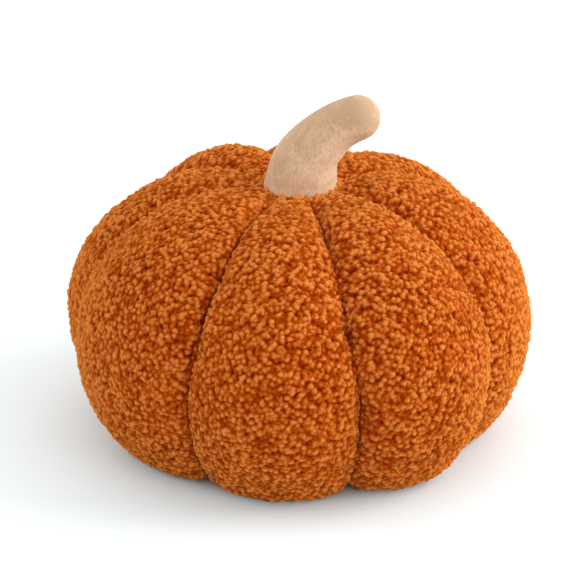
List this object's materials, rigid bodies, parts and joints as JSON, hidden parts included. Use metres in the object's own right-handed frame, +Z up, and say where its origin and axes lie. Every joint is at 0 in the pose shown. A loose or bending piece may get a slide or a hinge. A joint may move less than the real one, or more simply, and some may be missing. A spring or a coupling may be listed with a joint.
{
  "type": "pumpkin cushion",
  "caption": "Round pumpkin-shaped plush cushion, drawn in along its seams into soft lobes, with a stuffed suede stem that leans over at the top.",
  "frame": {"origin": "on the resting face, straight under the point at the top where the seams gather", "axes": "+Z up from the floor to the stem, -Y towards the front of the cushion, +X towards the side that the stem leans to"},
  "size_m": [0.3463, 0.3512, 0.262],
  "materials": {
    "teddy_fleece": "curly matt pile",
    "stem_suede": "soft suede nap"
  },
  "bodies": {
    "root": {"body_cushion": "teddy_fleece", "stem": "stem_suede"}
  },
  "joints": []
}
